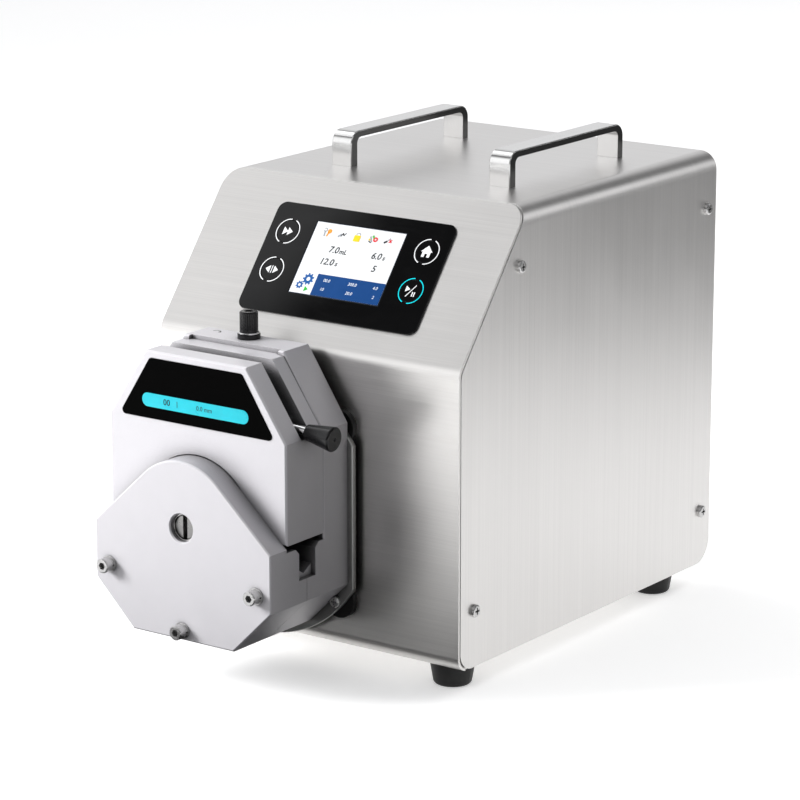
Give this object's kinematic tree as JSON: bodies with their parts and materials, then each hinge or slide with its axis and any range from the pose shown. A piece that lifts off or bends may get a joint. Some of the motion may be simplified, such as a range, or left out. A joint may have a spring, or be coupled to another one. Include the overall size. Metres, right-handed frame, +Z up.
{
  "type": "peristaltic pump",
  "caption": "Bench-top peristaltic pump: stainless drive unit with sloping display, carrying handles and a lever-operated roller pump head on its front.",
  "frame": {"origin": "centre of the bounding box in X and Y, at the bottom of the feet", "axes": "+Z up, the front with the pump head faces -Y, +X to the right seen from the front"},
  "size_m": [0.2248, 0.3778, 0.3025],
  "materials": {
    "brushed_steel": "fine brushed stainless sheet, satin",
    "handle_steel": "polished stainless bar",
    "screw_steel": "bright stainless fasteners",
    "head_aluminium": "light grey satin anodised",
    "flange_aluminium": "grey satin plate",
    "black_gloss": "gloss black overlay",
    "screen": "lit colour screen behind clear glass",
    "key_black": "black key with printed sign",
    "rubber_black": "matte black rubber",
    "plastic_black": "moulded black plastic",
    "label_black": "gloss black label plate",
    "stripe_cyan": "cyan printed stripe",
    "shaft_steel": "ground steel",
    "roller_white": "white acetal roller",
    "board_green": "circuit board",
    "motor_black": "black painted motor",
    "galvanised": "plated sheet steel"
  },
  "bodies": {
    "drive_unit": {"front_panel": "brushed_steel", "top_cover": "brushed_steel", "rear_panel": "brushed_steel", "feet": "rubber_black", "foot_screws": "screw_steel", "cover_screws": "screw_steel", "left_handle": "handle_steel", "right_handle": "handle_steel", "handle_screws": "screw_steel", "display_panel": "black_gloss", "lcd_screen": "screen", "display_board": "board_green", "display_studs": "shaft_steel", "power_supply": "galvanised", "control_board": "board_green", "power_inlet": "plastic_black", "inlet_screws": "screw_steel", "switch_frame": "plastic_black", "signal_connector": "galvanised", "front_housing": "head_aluminium", "rear_housing": "head_aluminium", "guide_posts": "shaft_steel", "tube_rests": "plastic_black", "cap_screws": "screw_steel", "cap_washers": "screw_steel", "mounting_flange": "flange_aluminium", "isolators": "rubber_black", "mount_screws": "screw_steel", "flange_screws": "screw_steel", "bearing_outer_rings": "shaft_steel", "motor_bracket": "flange_aluminium", "drive_motor": "motor_black", "motor_bolts": "screw_steel"},
    "rotor": {"rotor_front_disc": "shaft_steel", "rotor_rear_disc": "shaft_steel", "rotor_hub": "shaft_steel", "roller_pins": "shaft_steel", "drive_shaft": "shaft_steel", "motor_shaft": "shaft_steel", "bearing_inner_rings": "shaft_steel"},
    "roller_1": {"roller_1": "roller_white"},
    "roller_2": {"roller_2": "roller_white"},
    "roller_3": {"roller_3": "roller_white"},
    "press_block": {"press_block": "head_aluminium", "label_plate": "label_black", "label_stripe": "stripe_cyan"},
    "lever": {"cam_shaft": "shaft_steel", "lever_arm": "shaft_steel", "lever_grip": "plastic_black"},
    "knob": {"adjusting_knob": "plastic_black", "knob_spindle": "shaft_steel"},
    "key_fast": {"key_fast": "key_black"},
    "key_direction": {"key_direction": "key_black"},
    "key_home": {"key_home": "key_black"},
    "key_start": {"key_start": "key_black"},
    "rocker": {"switch_rocker": "plastic_black"}
  },
  "joints": [
    {"name": "rotor_spin", "type": "hinge", "parent": "drive_unit", "child": "rotor", "pos_m": [-0.0302, -0.14815, 0.098], "axis": [0, -1, 0], "continuous": true},
    {"name": "roller_1_spin", "type": "hinge", "parent": "rotor", "child": "roller_1", "pos_m": [-0.0302, -0.14875, 0.122], "axis": [0, -1, 0], "continuous": true},
    {"name": "roller_2_spin", "type": "hinge", "parent": "rotor", "child": "roller_2", "pos_m": [-0.05099, -0.14875, 0.086], "axis": [0, -1, 0], "continuous": true},
    {"name": "roller_3_spin", "type": "hinge", "parent": "rotor", "child": "roller_3", "pos_m": [-0.00941, -0.14875, 0.086], "axis": [0, -1, 0], "continuous": true},
    {"name": "block_lift", "type": "slide", "parent": "drive_unit", "child": "press_block", "axis": [0, 0, 1], "range_m": [0, 0.018]},
    {"name": "lever_turn", "type": "hinge", "parent": "press_block", "child": "lever", "pos_m": [-0.0302, -0.1465, 0.164], "axis": [0, -1, 0], "range_deg": [0, 189]},
    {"name": "knob_turn", "type": "hinge", "parent": "drive_unit", "child": "knob", "pos_m": [-0.0302, -0.11565, 0.204], "axis": [0, 0, 1], "range_deg": [-180, 180]},
    {"name": "key_fast_press", "type": "slide", "parent": "drive_unit", "child": "key_fast", "axis": [0, 0.7851, -0.6194], "range_m": [0, 0.0005], "stiffness_N_per_m": 400, "springref_m": -0.0002},
    {"name": "key_direction_press", "type": "slide", "parent": "drive_unit", "child": "key_direction", "axis": [0, 0.7851, -0.6194], "range_m": [0, 0.0005], "stiffness_N_per_m": 400, "springref_m": -0.0002},
    {"name": "key_home_press", "type": "slide", "parent": "drive_unit", "child": "key_home", "axis": [0, 0.7851, -0.6194], "range_m": [0, 0.0005], "stiffness_N_per_m": 400, "springref_m": -0.0002},
    {"name": "key_start_press", "type": "slide", "parent": "drive_unit", "child": "key_start", "axis": [0, 0.7851, -0.6194], "range_m": [0, 0.0005], "stiffness_N_per_m": 400, "springref_m": -0.0002},
    {"name": "rocker_tip", "type": "hinge", "parent": "drive_unit", "child": "rocker", "pos_m": [-0.062, 0.17985, 0.112], "axis": [0, 0, 1], "range_deg": [0, 16]}
  ],
  "couplings": [
    {"joint": "roller_1_spin", "follows": "rotor_spin", "ratio": -3.1818},
    {"joint": "roller_2_spin", "follows": "rotor_spin", "ratio": -3.1818},
    {"joint": "roller_3_spin", "follows": "rotor_spin", "ratio": -3.1818},
    {"joint": "lever_turn", "follows": "block_lift", "rad_per_m": 183.25}
  ]
}
